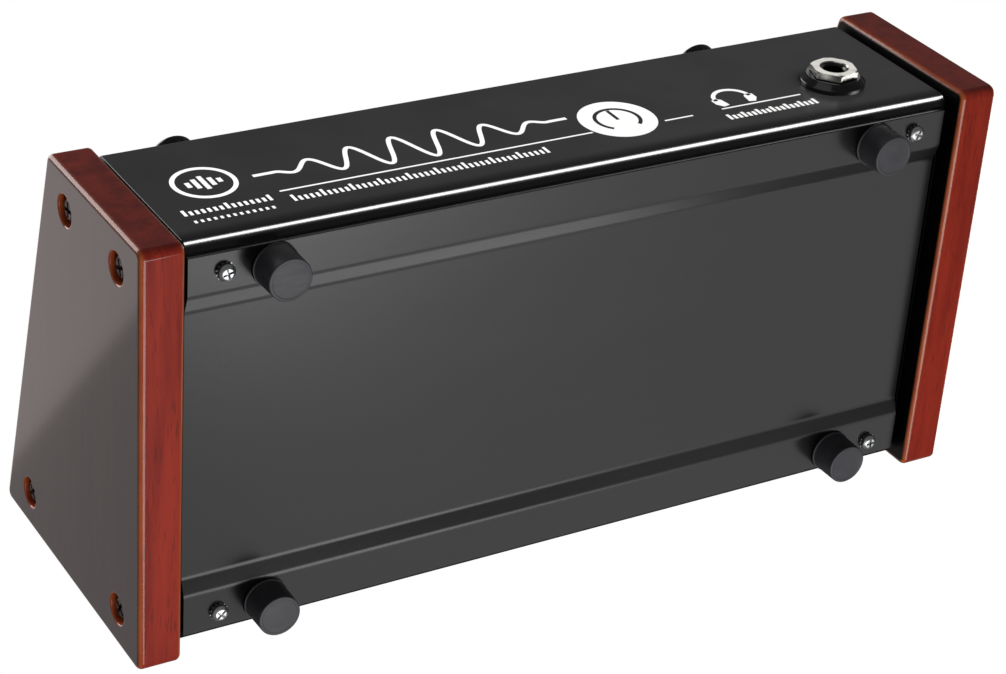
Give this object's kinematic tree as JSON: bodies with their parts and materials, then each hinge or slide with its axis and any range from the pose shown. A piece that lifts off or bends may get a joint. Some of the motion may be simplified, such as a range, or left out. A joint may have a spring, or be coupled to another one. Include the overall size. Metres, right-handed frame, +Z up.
{
  "type": "desktop monitor controller",
  "caption": "Wedge-shaped desktop audio monitor controller: folded steel case between lacquered wooden cheeks, with knobs, push buttons, headphone socket, rear line sockets and rubber feet.",
  "frame": {"origin": "on the table, under the middle of the outline", "axes": "+X to the user's right along the case, +Y to the rear, +Z up; the front wall faces -Y"},
  "size_m": [0.302, 0.1456, 0.1186],
  "materials": {
    "lacquered_mahogany": "clear gloss lacquer over red-brown stained mahogany",
    "cheek_screw_steel": "dark zinc",
    "black_powder_coat": "satin to semi-gloss black",
    "black_inner_steel": "satin black",
    "charcoal_powder_coat": "satin charcoal",
    "foot_rubber": "matt moulded rubber",
    "zinc_plate": "bright zinc",
    "socket_plastic": "gloss black",
    "washer_plastic": "gloss black",
    "bright_nickel": "bright nickel plate",
    "nut_plastic": "satin black",
    "small_knob_plastic": "satin black",
    "volume_knob_plastic": "satin black",
    "turned_aluminium": "fine turned rings",
    "button_plastic": "satin black",
    "switch_plastic": "satin black",
    "circuit_board": "solder mask",
    "lead_plastic": "matt grey"
  },
  "bodies": {
    "root": {"left_cheek": "lacquered_mahogany", "right_cheek": "lacquered_mahogany", "left_cheek_screw_front_low": "cheek_screw_steel", "left_cheek_screw_rear_low": "cheek_screw_steel", "left_cheek_screw_front_high": "cheek_screw_steel", "left_cheek_screw_rear_high": "cheek_screw_steel", "right_cheek_screw_front_low": "cheek_screw_steel", "right_cheek_screw_rear_low": "cheek_screw_steel", "right_cheek_screw_front_high": "cheek_screw_steel", "right_cheek_screw_rear_high": "cheek_screw_steel", "control_cover": "black_powder_coat", "left_end_tray": "black_inner_steel", "right_end_tray": "black_inner_steel", "bottom_plate": "charcoal_powder_coat", "foot_left_front": "foot_rubber", "foot_left_rear": "foot_rubber", "foot_right_front": "foot_rubber", "foot_right_rear": "foot_rubber", "bottom_screw_left_front": "zinc_plate", "bottom_screw_left_rear": "zinc_plate", "bottom_screw_right_front": "zinc_plate", "bottom_screw_right_rear": "zinc_plate", "board_stud_left": "zinc_plate", "board_stud_right": "zinc_plate", "volume_pot": "zinc_plate", "phones_socket": "socket_plastic", "input_1_left_socket": "socket_plastic", "input_1_right_socket": "socket_plastic", "input_2_left_socket": "socket_plastic", "input_2_right_socket": "socket_plastic", "output_left_socket": "socket_plastic", "output_right_socket": "socket_plastic", "phones_washer": "washer_plastic", "phones_nut": "bright_nickel", "volume_nut": "bright_nickel", "input_1_left_nut": "nut_plastic", "input_1_right_nut": "nut_plastic", "input_2_left_nut": "nut_plastic", "input_2_right_nut": "nut_plastic", "output_left_nut": "nut_plastic", "output_right_nut": "nut_plastic", "mute_switch": "switch_plastic", "dim_switch": "switch_plastic", "mono_switch": "switch_plastic", "source_switch": "switch_plastic", "phones_level_pot": "switch_plastic", "control_board": "circuit_board", "rear_board": "circuit_board", "ribbon_cable": "lead_plastic", "phones_lead": "lead_plastic"},
    "volume_control": {"volume_knob": "volume_knob_plastic", "volume_cap": "turned_aluminium", "volume_shaft": "zinc_plate"},
    "source_control": {"source_knob": "small_knob_plastic", "source_shaft": "zinc_plate"},
    "phones_level_control": {"phones_level_knob": "small_knob_plastic", "phones_level_shaft": "zinc_plate"},
    "mute_key": {"mute_button": "button_plastic"},
    "dim_key": {"dim_button": "button_plastic"},
    "mono_key": {"mono_button": "button_plastic"}
  },
  "joints": [
    {"name": "volume_turn", "type": "hinge", "parent": "root", "child": "volume_control", "pos_m": [0, 0.00846, 0.09973], "axis": [0, -0.2706, 0.9627], "range_deg": [-150, 150]},
    {"name": "source_turn", "type": "hinge", "parent": "root", "child": "source_control", "pos_m": [-0.1032, -0.05074, 0.08309], "axis": [0, -0.2706, 0.9627], "range_deg": [-30, 30]},
    {"name": "phones_level_turn", "type": "hinge", "parent": "root", "child": "phones_level_control", "pos_m": [0.091, -0.05074, 0.08309], "axis": [0, -0.2706, 0.9627], "range_deg": [-150, 150]},
    {"name": "mute_press", "type": "slide", "parent": "root", "child": "mute_key", "axis": [0, 0.2706, -0.9627], "range_m": [0, 0.0025], "stiffness_N_per_m": 500},
    {"name": "dim_press", "type": "slide", "parent": "root", "child": "dim_key", "axis": [0, 0.2706, -0.9627], "range_m": [0, 0.0025], "stiffness_N_per_m": 500},
    {"name": "mono_press", "type": "slide", "parent": "root", "child": "mono_key", "axis": [0, 0.2706, -0.9627], "range_m": [0, 0.0025], "stiffness_N_per_m": 500}
  ]
}
